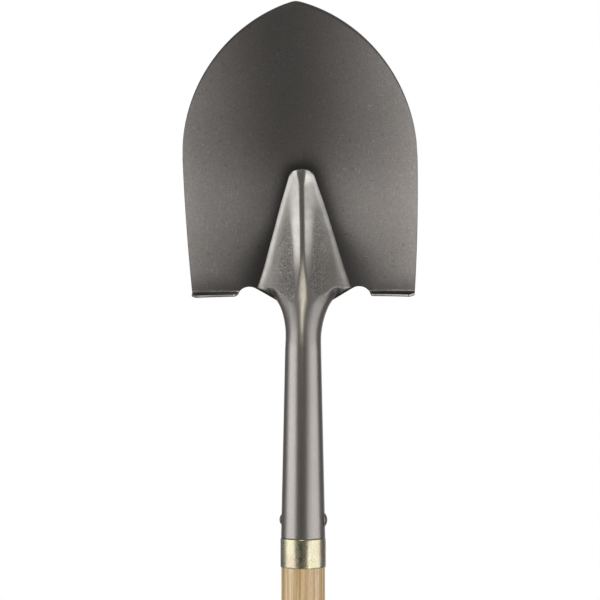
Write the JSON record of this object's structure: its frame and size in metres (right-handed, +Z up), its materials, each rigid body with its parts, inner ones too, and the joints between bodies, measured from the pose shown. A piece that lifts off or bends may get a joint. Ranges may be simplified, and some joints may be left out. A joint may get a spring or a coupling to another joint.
{
  "type": "firefighting shovel",
  "caption": "Round-point firefighting shovel: forged steel head with dished blade, ridge, treads and closed socket, riveted to a straight wooden handle behind a plated ferrule.",
  "frame": {"origin": "centre of the flat butt face of the handle", "axes": "+Z up the handle axis from the butt to the blade, -Y the way the dished front of the blade faces, +X to the right seen from that front"},
  "size_m": [0.226, 0.0835, 1.4193],
  "materials": {
    "forged_steel": "dark forged steel under clear lacquer, semi-gloss, finely scratched",
    "ash_wood": "smooth sanded ash, satin, grain along the handle",
    "plated_steel": "bright yellow-zinc plated",
    "rivet_steel": "dark steel, semi-gloss"
  },
  "bodies": {
    "root": {"forged_head": "forged_steel", "handle": "ash_wood", "ferrule": "plated_steel", "rivet": "rivet_steel"}
  },
  "joints": []
}
